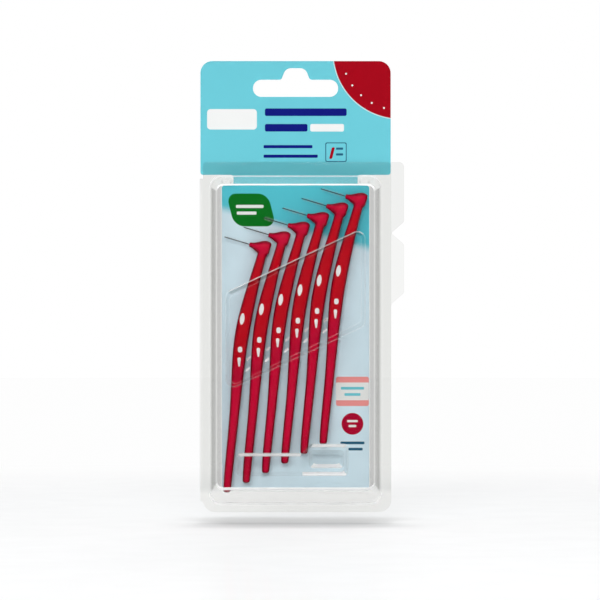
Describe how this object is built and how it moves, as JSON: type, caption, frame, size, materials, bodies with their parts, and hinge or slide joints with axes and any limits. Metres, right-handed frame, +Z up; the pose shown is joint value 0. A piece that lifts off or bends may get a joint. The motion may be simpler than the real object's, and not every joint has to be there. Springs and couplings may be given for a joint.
{
  "type": "interdental brush pack",
  "caption": "Hanging clear clamshell pack with a printed header card, holding a staggered row of red angled interdental brushes with fine wire heads.",
  "frame": {"origin": "middle of the hang slot's round lobe, on the card's middle plane, where a display hook bears", "axes": "+Z up, +X to the right of someone facing the front, +Y out of the back of the pack"},
  "size_m": [0.092, 0.0144, 0.2029],
  "materials": {
    "card": "printed card",
    "clear_case": "clear formed sheet",
    "handle_red": "smooth moulded",
    "mark_white": "matt white",
    "wire": "twisted wire",
    "bristle": "fine nylon filaments"
  },
  "bodies": {
    "card_and_back": {"printed_card": "card", "back_shell": "clear_case", "living_hinge": "clear_case"},
    "front": {"front_shell": "clear_case"},
    "brush_1": {"brush_1_handle": "handle_red", "brush_1_grip_marks": "mark_white", "brush_1_wire": "wire", "brush_1_bristles": "bristle"},
    "brush_2": {"brush_2_handle": "handle_red", "brush_2_grip_marks": "mark_white", "brush_2_wire": "wire", "brush_2_bristles": "bristle"},
    "brush_3": {"brush_3_handle": "handle_red", "brush_3_grip_marks": "mark_white", "brush_3_wire": "wire", "brush_3_bristles": "bristle"},
    "brush_4": {"brush_4_handle": "handle_red", "brush_4_grip_marks": "mark_white", "brush_4_wire": "wire", "brush_4_bristles": "bristle"},
    "brush_5": {"brush_5_handle": "handle_red", "brush_5_grip_marks": "mark_white", "brush_5_wire": "wire", "brush_5_bristles": "bristle"},
    "brush_6": {"brush_6_handle": "handle_red", "brush_6_grip_marks": "mark_white", "brush_6_wire": "wire", "brush_6_bristles": "bristle"}
  },
  "joints": [
    {"name": "front_shell_hinge", "type": "hinge", "parent": "card_and_back", "child": "front", "pos_m": [-0.04225, 0, -0.11711], "axis": [0, 0, -1], "range_deg": [0, 180], "deforming": ["living_hinge"]},
    {"name": "brush_1_lift", "type": "slide", "parent": "card_and_back", "child": "brush_1", "axis": [0, -1, 0], "range_m": [0, 0.015]},
    {"name": "brush_2_lift", "type": "slide", "parent": "card_and_back", "child": "brush_2", "axis": [0, -1, 0], "range_m": [0, 0.015]},
    {"name": "brush_3_lift", "type": "slide", "parent": "card_and_back", "child": "brush_3", "axis": [0, -1, 0], "range_m": [0, 0.015]},
    {"name": "brush_4_lift", "type": "slide", "parent": "card_and_back", "child": "brush_4", "axis": [0, -1, 0], "range_m": [0, 0.015]},
    {"name": "brush_5_lift", "type": "slide", "parent": "card_and_back", "child": "brush_5", "axis": [0, -1, 0], "range_m": [0, 0.015]},
    {"name": "brush_6_lift", "type": "slide", "parent": "card_and_back", "child": "brush_6", "axis": [0, -1, 0], "range_m": [0, 0.015]}
  ],
  "couplings": [
    {"joint": "brush_1_lift", "follows": "front_shell_hinge", "m_per_rad": 0.00477},
    {"joint": "brush_2_lift", "follows": "front_shell_hinge", "m_per_rad": 0.00477},
    {"joint": "brush_3_lift", "follows": "front_shell_hinge", "m_per_rad": 0.00477},
    {"joint": "brush_4_lift", "follows": "front_shell_hinge", "m_per_rad": 0.00477},
    {"joint": "brush_5_lift", "follows": "front_shell_hinge", "m_per_rad": 0.00477},
    {"joint": "brush_6_lift", "follows": "front_shell_hinge", "m_per_rad": 0.00477}
  ]
}
